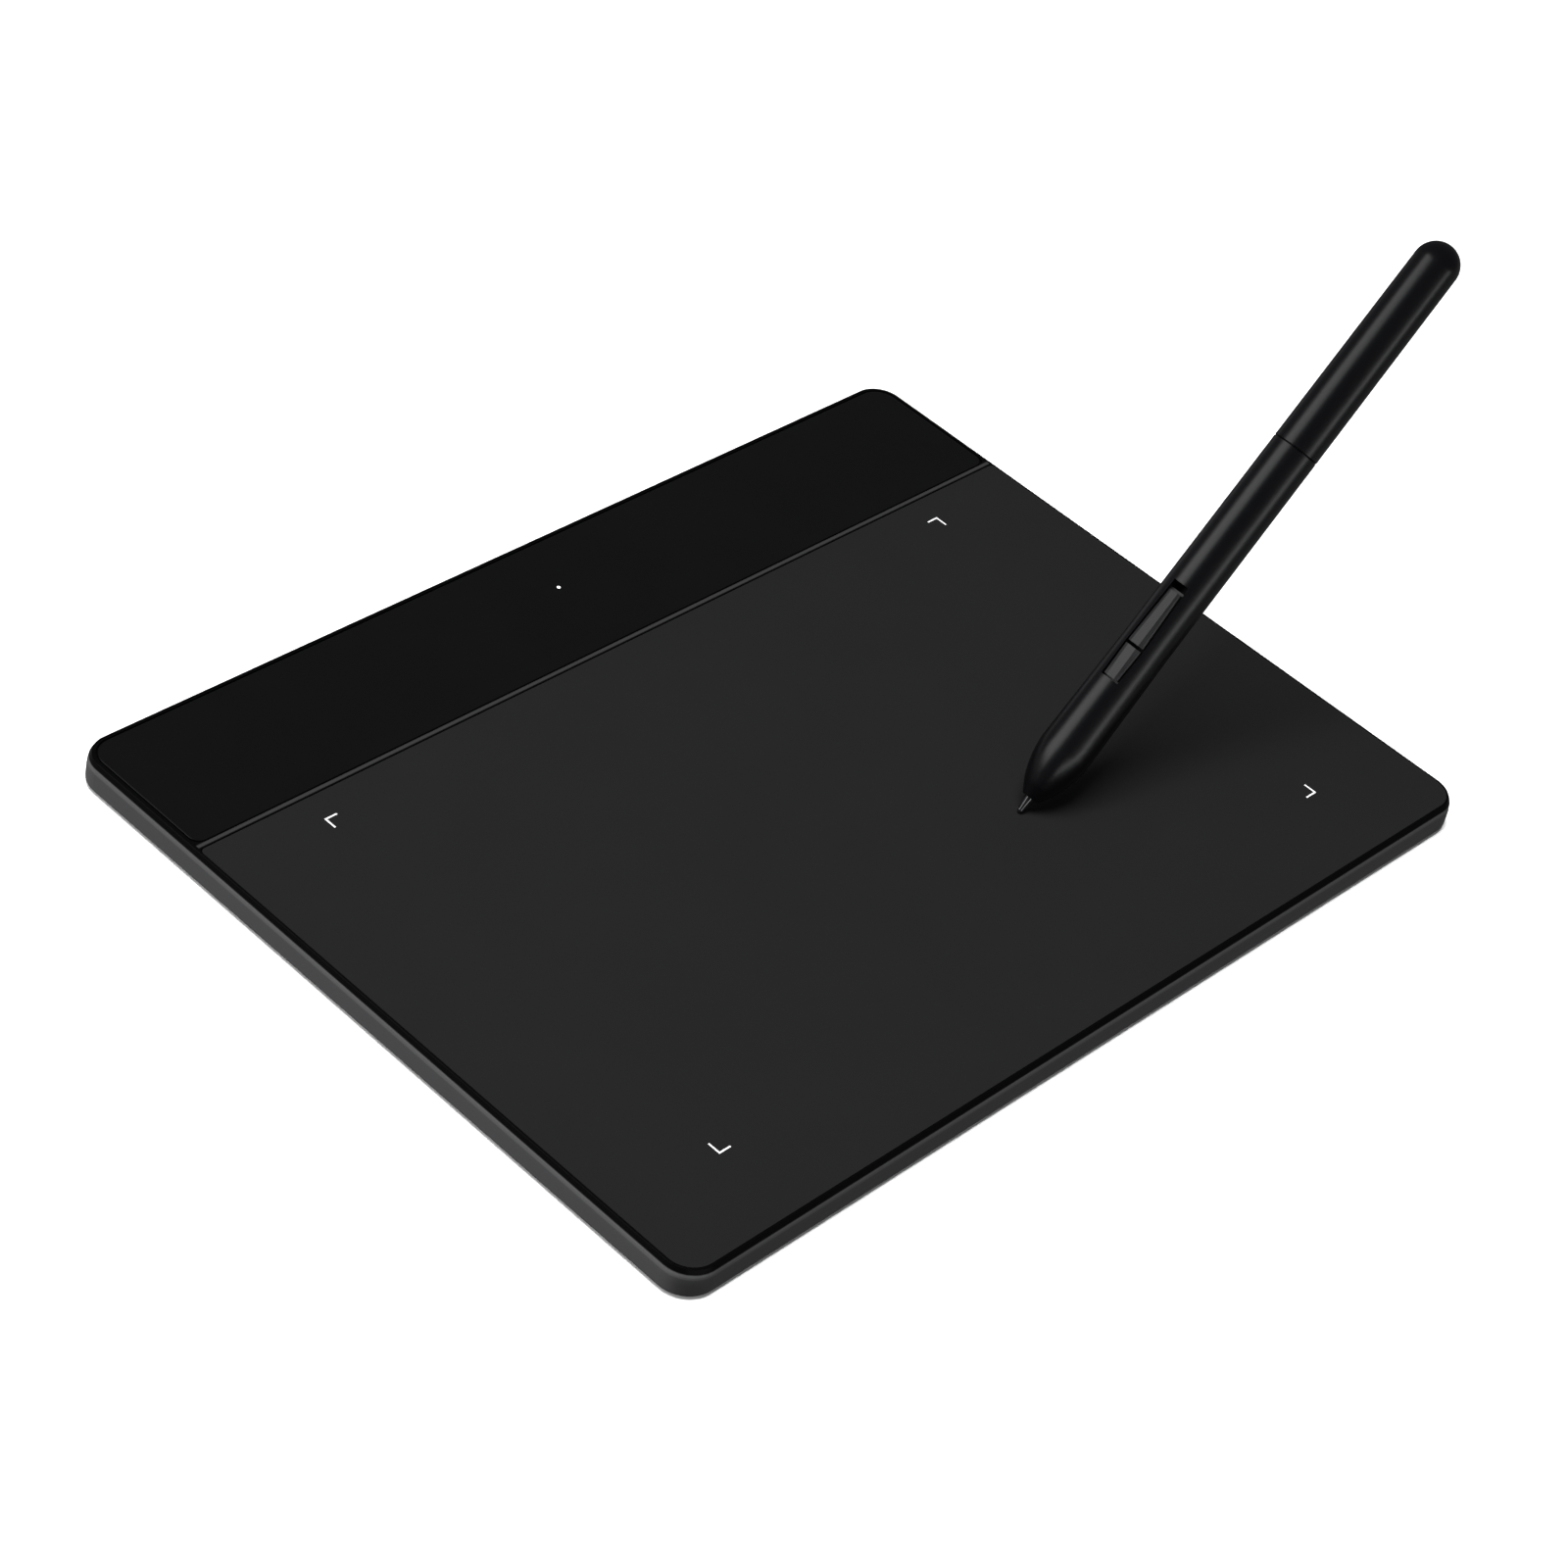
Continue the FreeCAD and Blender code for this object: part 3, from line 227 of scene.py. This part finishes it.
def moulded(
    name,
    colour,
    roughness,
    grain=4000.0,
    depth=0.004 * MM,
    vary=0.15,
    specular=0.5,
    metallic=0.0,
):
    """Plastic, rubber or metal with a fine grain and slightly uneven colour and sheen."""
    material, tree, shader = new_material(name)
    shader.inputs["Metallic"].default_value = metallic
    shader.inputs["Specular IOR Level"].default_value = specular
    cloud = noise(tree, CLOUD_SCALE, CLOUD_DETAIL)
    darker = tuple(channel * (1 - vary) for channel in colour)
    lighter = tuple(channel * (1 + vary) for channel in colour)
    tree.links.new(mix_colour(tree, cloud, darker, lighter), shader.inputs["Base Color"])
    fine = noise(tree, grain, GRAIN_DETAIL)
    even = spread(tree, fine, roughness * (1 - SHEEN_SPREAD), roughness * (1 + SHEEN_SPREAD))
    tree.links.new(even, shader.inputs["Roughness"])
    add_bump(tree, shader, fine, depth)
    return material


def housing_material():
    """Satin dark grey walls, a painted highlight as a paler line along their top, a bevel painted
    near black as shade, and a painted grey highlight on the rib.
    """
    material, tree, shader = new_material("housing_plastic")
    place = tree.nodes.new("ShaderNodeTexCoord")
    axes = tree.nodes.new("ShaderNodeSeparateXYZ")
    tree.links.new(place.outputs["Object"], axes.inputs["Vector"])
    height = axes.outputs["Z"]
    cloud = noise(tree, CLOUD_SCALE, CLOUD_DETAIL)
    colour = mix_colour(tree, cloud, WALL_DARK, WALL_LIGHT)
    # Painted highlight: a paler band on the upper wall, just below the bevel.
    painted_highlight_band = between(tree, height, EDGE_HIGHLIGHT_LOW, BEVEL_START)
    colour = layer(tree, painted_highlight_band, colour, PAINTED_EDGE_HIGHLIGHT)
    # Painted shade: from the bevel's start upwards the housing is near black with little shine,
    # standing for the dark it mirrors.
    painted_shade_mask = spread(tree, height, 0.0, 1.0, BEVEL_START - EDGE_FADE, BEVEL_START + EDGE_FADE)
    colour = layer(tree, painted_shade_mask, colour, DEEP_BLACK)
    # Painted highlight: grey along the rib's top, for the light the rib catches.
    along = between(tree, axes.outputs["X"], -RIB_HALF_LENGTH, RIB_HALF_LENGTH)
    across = between(tree, axes.outputs["Y"], RIB_FRONT, RIB_BACK)
    colour = layer(tree, combine(tree, "MULTIPLY", across, along), colour, RIB_PAINTED_HIGHLIGHT)
    tree.links.new(colour, shader.inputs["Base Color"])
    specular = spread(tree, painted_shade_mask, WALL_SPECULAR, BEVEL_SPECULAR, 0.0, 1.0)
    tree.links.new(specular, shader.inputs["Specular IOR Level"])
    fine = noise(tree, WALL_GRAIN, GRAIN_DETAIL)
    tree.links.new(spread(tree, fine, *WALL_ROUGHNESS), shader.inputs["Roughness"])
    add_bump(tree, shader, fine, WALL_GRAIN_DEPTH)
    return material


def lit_plastic(name, colour):
    """A clear pin whose middle glows with the light behind it, with a dark rim."""
    material, tree, shader = new_material(name)
    shader.inputs["Roughness"].default_value = CLEAR_ROUGHNESS
    low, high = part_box("light_guide")[:2]
    middle = (Vector(low) + Vector(high)) / 2
    place = tree.nodes.new("ShaderNodeTexCoord")
    flat = tree.nodes.new("ShaderNodeMapping")
    flat.inputs["Location"].default_value = (-middle.x, -middle.y, 0)
    flat.inputs["Scale"].default_value = (1, 1, 0)
    away = tree.nodes.new("ShaderNodeVectorMath")
    away.operation = "LENGTH"
    tree.links.new(place.outputs["Object"], flat.inputs["Vector"])
    tree.links.new(flat.outputs["Vector"], away.inputs[0])
    near = spread(tree, away.outputs["Value"], 1.0, 0.0, GLOW_RADIUS, GLOW_RADIUS + GLOW_FADE)
    tree.links.new(mix_colour(tree, near, DEEP_BLACK, colour), shader.inputs["Base Color"])
    shader.inputs["Emission Color"].default_value = LIGHT_COLOUR
    glow = spread(tree, near, 0.0, LIGHT_LEVEL, 0.0, 1.0)
    tree.links.new(glow, shader.inputs["Emission Strength"])
    return material


def dress(nodes, material):
    """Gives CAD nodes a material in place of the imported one."""
    for name in nodes:
        for slot in frame["nodes"][name].material_slots:
            slot.material = material


def crisp_facets(nodes):
    """Shades each flat face of small moulded keys on its own."""
    for name in nodes:
        edges = frame["nodes"][name].modifiers.new("crisp facets", "EDGE_SPLIT")
        edges.split_angle = SHARP_ANGLE


# Outside of the tablet.
housing_plastic = housing_material()
film = moulded(
    "surface_film",
    (0.0088, 0.0088, 0.0089),
    0.60,
    grain=6000.0,
    vary=0.06,
    specular=0.06,
)
panel = moulded(
    "panel_plastic",
    (0.0024, 0.0024, 0.0025),
    0.30,
    grain=5000.0,
    depth=0.0006 * MM,
    specular=0.15,
)
lit_pin = lit_plastic("clear_plastic", (0.85, 0.87, 0.90))
cover_plastic = moulded(
    "cover_plastic", (0.013, 0.013, 0.0135), 0.45, grain=2500.0, depth=0.01 * MM
)
rubber = moulded("foot_rubber", (0.016, 0.016, 0.016), 0.75, depth=0.006 * MM, specular=0.3)
white_print = moulded("mark_print", (0.62, 0.62, 0.62), 0.5, vary=0.04)

# Outside of the pen.
pen_plastic = moulded(
    "pen_plastic", (0.0008, 0.0008, 0.0012), 0.30, grain=6000.0, depth=0.001 * MM
)
button_plastic = moulded(
    "button_plastic",
    (0.0080, 0.0080, 0.0085),
    0.42,
    grain=6000.0,
    depth=0.003 * MM,
    specular=0.6,
)
nib_plastic = moulded(
    "nib_plastic",
    (0.004, 0.004, 0.005),
    0.14,
    grain=5000.0,
    depth=0.0004 * MM,
    specular=1.0,
)

# Inside both.
steel = moulded("steel", (0.55, 0.55, 0.56), 0.32, metallic=1.0, vary=0.05)
dull_foil = moulded("shield_metal", (0.45, 0.45, 0.46), 0.55, metallic=1.0, vary=0.08)
gold = moulded("gold_contact", (0.80, 0.58, 0.22), 0.25, metallic=1.0, vary=0.05)
copper = moulded("copper", (0.72, 0.38, 0.20), 0.30, metallic=1.0, vary=0.05)
black_plastic = moulded("black_plastic", (0.012, 0.012, 0.012), 0.4)
ivory_plastic = moulded("socket_plastic", (0.60, 0.58, 0.52), 0.5, vary=0.05)
flat_cable = moulded("flat_cable", (0.70, 0.70, 0.66), 0.35, vary=0.04)
tape = moulded("tape", (0.30, 0.30, 0.29), 0.6, vary=0.06)
foam = moulded("foam", (0.05, 0.05, 0.05), 0.9, grain=1500.0, depth=0.05 * MM)
board = moulded("circuit_board", (0.015, 0.06, 0.03), 0.35, vary=0.25)
dark_board = moulded("dark_circuit_board", (0.001, 0.001, 0.001), 0.45, vary=0.25, specular=0.2)
ceramic = moulded("ceramic", (0.36, 0.27, 0.18), 0.5)
ferrite = moulded("ferrite", (0.05, 0.05, 0.05), 0.55)
light_package = moulded("led_white", (0.90, 0.90, 0.85), 0.3, vary=0.03)

dress(["top_housing"], housing_plastic)
dress(["drawing_surface"], film)
dress(["accent_panel"], panel)
dress(["light_guide"], lit_pin)
dress(["bottom_cover"], cover_plastic)
dress(["foot_front_left", "foot_front_right", "foot_rear_left", "foot_rear_right"], rubber)
dress(["pressure_pad"], rubber)
dress(["short_button", "long_button"], button_plastic)
dress(["surface_adhesive", "panel_adhesive"], tape)
dress(["sensor_board", "main_board"], board)
dress(["pen_board"], dark_board)
dress(["shield_sheet"], dull_foil)
dress(["foam_pad"], foam)
dress(["stiffener_plate", "usb_shell", "cover_screws", "board_screws", "clock_crystal"], steel)
dress(["short_button_switch", "long_button_switch"], steel)
dress(["usb_contacts"], gold)
dress(["usb_tongue", "controller_chip", "antenna_switch_chips"], black_plastic)
dress(["coupling_sleeve", "pressure_sensor", "inner_frame"], black_plastic)
dress(["board_capacitors", "pen_capacitors"], ceramic)
dress(["power_led"], light_package)
dress(["sensor_cable"], flat_cable)
dress(["sensor_socket", "nib_holder"], ivory_plastic)
dress(["ferrite_core"], ferrite)
dress(["coil"], copper)
crisp_facets(["short_button", "long_button"])

# ---------------------------------------------------------------- smooth turned pieces of the pen


def pen_axes():
    """From upright pen coordinates, X towards the buttons and Z along the pen, to the frame."""
    axis = {joint["name"]: Vector(joint["axis"]) for joint in frame["joints"]}
    along = axis["nib_press"].normalized()
    outward = -axis["short_button_press"].normalized()
    across = along.cross(outward)
    turn = Matrix((outward, across, along)).transposed().to_4x4()
    return Matrix.Translation(PEN_FOOT) @ turn


def arc(start, end, radius, steps=ARC_STEPS):
    """Points from start to end, (radius, level) pairs, on an arc that bulges outwards."""
    first = Vector(start)
    last = Vector(end)
    chord = last - first
    outward = Vector((chord.y, -chord.x)).normalized()
    depth = math.sqrt(max(radius**2 - (chord.length / 2) ** 2, 0.0))
    centre = (first + last) / 2 - outward * depth
    begin = math.atan2(first.y - centre.y, first.x - centre.x)
    finish = math.atan2(last.y - centre.y, last.x - centre.x)
    angles = [begin + (finish - begin) * step / steps for step in range(steps + 1)]
    return [(centre.x + radius * math.cos(a), centre.y + radius * math.sin(a)) for a in angles]


def straight(start, end, steps):
    """Evenly spaced points on a line, so that long cones shade evenly."""
    return [tuple(Vector(start).lerp(Vector(end), step / steps)) for step in range(steps + 1)]


def ring(mesh, radius, level):
    """The vertices of one turn about the axis, or a single one on the axis."""
    if radius < SMALLEST_RADIUS:
        return [mesh.verts.new((0, 0, level))]
    angles = [math.tau * step / ROUND_STEPS for step in range(ROUND_STEPS)]
    return [mesh.verts.new((radius * math.cos(a), radius * math.sin(a), level)) for a in angles]


def turned(name, outline):
    """A closed solid of revolution about the pen's axis, from (radius, level) points."""
    mesh = bmesh.new()
    rings = [ring(mesh, radius, level) for radius, level in outline]
    if len(rings[0]) > 1:
        rings.append(rings[0])
    for lower, upper in zip(rings, rings[1:]):
        for step in range(ROUND_STEPS):
            following = (step + 1) % ROUND_STEPS
            corners = [lower[step % len(lower)], lower[following % len(lower)]]
            corners += [upper[following % len(upper)], upper[step % len(upper)]]
            mesh.faces.new(list(dict.fromkeys(corners)))
    return as_object(name, mesh)


def prism(name, low, high):
    """A closed solid between two outlines with equally many corners."""
    mesh = bmesh.new()
    below = [mesh.verts.new(corner) for corner in low]
    above = [mesh.verts.new(corner) for corner in high]
    mesh.faces.new(below)
    mesh.faces.new(above)
    for index, corner in enumerate(below):
        mesh.faces.new((below[index - 1], corner, above[index], above[index - 1]))
    return as_object(name, mesh)


def as_object(name, mesh):
    """Turns a finished bmesh into an object of the scene, with its faces outwards."""
    bmesh.ops.recalc_face_normals(mesh, faces=mesh.faces)
    data = bpy.data.meshes.new(name)
    mesh.to_mesh(data)
    mesh.free()
    piece = bpy.data.objects.new(name, data)
    bpy.context.scene.collection.objects.link(piece)
    return piece


def smooth(piece, material):
    """Smooth shading with crisp edges where the surface turns sharply."""
    for polygon in piece.data.polygons:
        polygon.use_smooth = True
    piece.data.set_sharp_from_angle(angle=SHARP_ANGLE)
    piece.data.materials.clear()
    piece.data.materials.append(material)


def cut_slot(barrel):
    """Cuts the six-sided button slot out of the barrel's wall."""
    right = list(SLOT_PROFILE)
    left = [(-half, level) for half, level in reversed(SLOT_PROFILE)]
    low = [(SLOT_FLOOR, across, level) for across, level in right + left]
    high = [(SLOT_TOP, across, level) for across, level in right + left]
    cutter = prism("slot_cutter", low, high)
    modifier = barrel.modifiers.new("slot", "BOOLEAN")
    modifier.object = cutter
    modifier.operation = "DIFFERENCE"
    modifier.solver = "EXACT"
    evaluated = barrel.evaluated_get(bpy.context.evaluated_depsgraph_get())
    result = bpy.data.meshes.new_from_object(evaluated)
    barrel.modifiers.clear()
    barrel.data = result
    bpy.data.objects.remove(cutter)


def stand_for(piece, node, body):
    """Puts a turned piece in the pen's position, in place of its CAD node."""
    piece.matrix_world = pen_axes()
    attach(piece, body)
    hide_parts(node)


def make_front_barrel():
    """The grip with its nose, its shoulder and the slot for the two buttons."""
    seam = SEAM_LEVEL - SEAM_HALF_GAP
    outline = [(NOSE_BORE_RADIUS, NOSE_LEVEL)]
    outline += straight((NOSE_RADIUS, NOSE_LEVEL), NOSE_CREASE, NOSE_STEPS)
    outline += arc(NOSE_CREASE, SHOULDER, NOSE_CURVE_RADIUS)[1:]
    outline += straight(SHOULDER, GRIP, CONE_STEPS)[1:]
    outline += straight(GRIP, (SEAM_RADIUS, seam - SEAM_EDGE), BARREL_STEPS)[1:]
    outline += [(SEAM_RADIUS - SEAM_EDGE, seam), (BORE_RADIUS, seam)]
    outline += [(BORE_RADIUS, SHOULDER[1]), (NOSE_BORE_RADIUS, NOSE_CREASE[1])]
    barrel = turned("front_barrel_shell", outline)
    cut_slot(barrel)
    smooth(barrel, pen_plastic)
    stand_for(barrel, "front_barrel", "pen")


def make_rear_barrel():
    """The rear of the pen with its round end."""
    seam = SEAM_LEVEL + SEAM_HALF_GAP
    tail = TAIL_END_LEVEL - TAIL_RADIUS
    outline = [(0, seam), (SEAM_RADIUS - SEAM_EDGE, seam)]
    outline += straight((SEAM_RADIUS, seam + SEAM_EDGE), (TAIL_RADIUS, tail), BARREL_STEPS)
    outline += arc((TAIL_RADIUS, tail), (0, TAIL_END_LEVEL), TAIL_RADIUS)[1:]
    barrel = turned("rear_barrel_shell", outline)
    smooth(barrel, pen_plastic)
    stand_for(barrel, "rear_barrel", "pen")


def make_nib():
    """The wear tip: a round point, a cone, and the thin shaft behind it."""
    centre = NIB_TIP_LEVEL + NIB_TIP_RADIUS
    cone_start = (NIB_TIP_RADIUS, centre)
    outline = arc((0, NIB_TIP_LEVEL), cone_start, NIB_TIP_RADIUS, TIP_STEPS)
    outline += straight(cone_start, (NIB_RADIUS, NIB_CONE_END_LEVEL), CONE_STEPS)[1:]
    outline += [(NIB_RADIUS, NIB_SHOULDER_LEVEL), (NIB_SHAFT_RADIUS, NIB_SHOULDER_LEVEL)]
    outline += [(NIB_SHAFT_RADIUS, NIB_END_LEVEL), (0, NIB_END_LEVEL)]
    tip = turned("nib_point", outline)
    smooth(tip, nib_plastic)
    stand_for(tip, "nib", "nib")


make_front_barrel()
make_rear_barrel()
make_nib()

# ---------------------------------------------------------------- printed corner marks


def make_corner_mark(name, side_x, side_y):
    """A thin printed bracket at one corner of the active area, its arms pointing inwards."""
    corner_x = side_x * ACTIVE_WIDTH / 2
    corner_y = ACTIVE_CENTRE_Y + side_y * ACTIVE_DEPTH / 2
    steps = ((0, 0), (MARK_ARM, 0), (MARK_ARM, MARK_STROKE), (MARK_STROKE, MARK_STROKE))
    steps += ((MARK_STROKE, MARK_ARM), (0, MARK_ARM))
    places = [(corner_x - side_x * x, corner_y - side_y * y) for x, y in steps]
    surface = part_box("drawing_surface")[1][2]
    low = [(x, y, surface) for x, y in places]
    high = [(x, y, surface + PRINT_HEIGHT) for x, y in places]
    mark = prism(name, low, high)
    mark.data.materials.append(white_print)
    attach(mark, "tablet")


for end, side_y in (("front", -1), ("rear", 1)):
    for side, side_x in (("left", -1), ("right", 1)):
        make_corner_mark(f"corner_mark_{end}_{side}", side_x, side_y)

# ---------------------------------------------------------------- floor, lights and camera

FLOOR_SIZE = 12
FLOOR_WHITE = (0.86, 0.86, 0.86, 1)
FLOOR_ROUGHNESS = 0.9
FLOOR_SPECULAR = 0.1

ORIGIN = (0, 0, 0)
STUDIO_CENTRE = (0.03, -0.03, 0.05)

# Strengths of the surroundings. The table's left and right are told apart by Y minus X of
# the direction, and the sky begins above the horizon's fade.
SKY_LEVEL = 0.075
TABLE_LEFT = 0.42
TABLE_RIGHT = 0.12
TABLE_DARK = 0.02
SIDE_START = 0.35
SIDE_END = 0.85
HORIZON_FADE = 0.06
SURROUNDING_COLOUR = (1.0, 1.0, 1.02, 1)

CAMERA_PLACE = Vector((-478.95, -343.41, 490.84)) * MM
CAMERA_TARGET = Vector((-4.25, -0.92, 6.6)) * MM
CAMERA_ROLL = math.radians(13.35)
CAMERA_LENS = 96.35
CAMERA_SENSOR = 36.0
CAMERA_NEAR = 0.01


def make_floor():
    """A white floor that is seen and takes shadows, and lights nothing itself."""
    bpy.ops.mesh.primitive_plane_add(size=FLOOR_SIZE)
    floor = bpy.context.object
    floor.name = "studio_floor"
    material, _, shader = new_material("studio_floor")
    shader.inputs["Base Color"].default_value = FLOOR_WHITE
    shader.inputs["Roughness"].default_value = FLOOR_ROUGHNESS
    shader.inputs["Specular IOR Level"].default_value = FLOOR_SPECULAR
    floor.data.materials.append(material)
    floor.visible_glossy = False
    floor.visible_diffuse = False


def area_light(name, place, aim, width, height, power, mirrored=True):
    """A rectangular light, which shiny surfaces mirror or not."""
    light = bpy.data.lights.new(name, "AREA")
    light.shape = "RECTANGLE"
    light.size = width
    light.size_y = height
    light.energy = power
    lamp = bpy.data.objects.new(name, light)
    bpy.context.scene.collection.objects.link(lamp)
    lamp.location = place
    lamp.rotation_euler = (Vector(aim) - Vector(place)).to_track_quat("-Z", "Y").to_euler()
    lamp.visible_glossy = mirrored


def make_lights():
    """The soft box and the strip make the pen's two long highlights, the others fill."""
    area_light("overhead_softbox", (-0.28, -0.03, 1.45), ORIGIN, 0.7, 0.7, 45.0, mirrored=False)
    area_light("camera_fill", (-0.95, -0.85, 0.95), STUDIO_CENTRE, 0.8, 0.8, 4.0, mirrored=False)
    area_light("left_softbox", (-0.92, 0.62, 0.78), STUDIO_CENTRE, 1.0, 1.0, 6.3)
    area_light("left_fill", (-1.30, 0.25, 0.28), STUDIO_CENTRE, 0.9, 0.4, 6.5, mirrored=False)
    area_light("front_strip", (-0.30, -1.25, 0.07), STUDIO_CENTRE, 1.6, 0.24, 2.7)


def make_world():
    """A dim sky over a table that is lit on the left, less on the right, and dark in front."""
    world = bpy.data.worlds.new("studio")
    world.use_nodes = True
    tree = world.node_tree
    background = tree.nodes["Background"]
    place = tree.nodes.new("ShaderNodeTexCoord")
    axes = tree.nodes.new("ShaderNodeSeparateXYZ")
    tree.links.new(place.outputs["Generated"], axes.inputs["Vector"])
    side = combine(tree, "SUBTRACT", axes.outputs["Y"], axes.outputs["X"])
    left = spread(tree, side, TABLE_DARK, TABLE_LEFT, SIDE_START, SIDE_END)
    right = spread(tree, side, 0.0, TABLE_RIGHT, -SIDE_START, -SIDE_END)
    level = tree.nodes.new("ShaderNodeMix")
    level.inputs["B"].default_value = SKY_LEVEL
    tree.links.new(combine(tree, "ADD", left, right), level.inputs["A"])
    above = spread(tree, axes.outputs["Z"], 0.0, 1.0, -HORIZON_FADE, 0.0)
    tree.links.new(above, level.inputs["Factor"])
    tree.links.new(level.outputs["Result"], background.inputs["Strength"])
    background.inputs["Color"].default_value = SURROUNDING_COLOUR
    bpy.context.scene.world = world


def make_camera():
    """Looks down on the front left corner, slightly rolled."""
    camera = bpy.data.objects.new("camera", bpy.data.cameras.new("camera"))
    bpy.context.scene.collection.objects.link(camera)
    camera.location = CAMERA_PLACE
    level_view = (CAMERA_TARGET - CAMERA_PLACE).to_track_quat("-Z", "Y").to_matrix()
    camera.rotation_euler = (level_view @ Matrix.Rotation(CAMERA_ROLL, 3, "Z")).to_euler()
    camera.data.lens = CAMERA_LENS
    camera.data.sensor_width = CAMERA_SENSOR
    camera.data.clip_start = CAMERA_NEAR
    bpy.context.scene.camera = camera


make_floor()
make_lights()
make_world()
make_camera()
bpy.context.scene.view_settings.view_transform = "Standard"
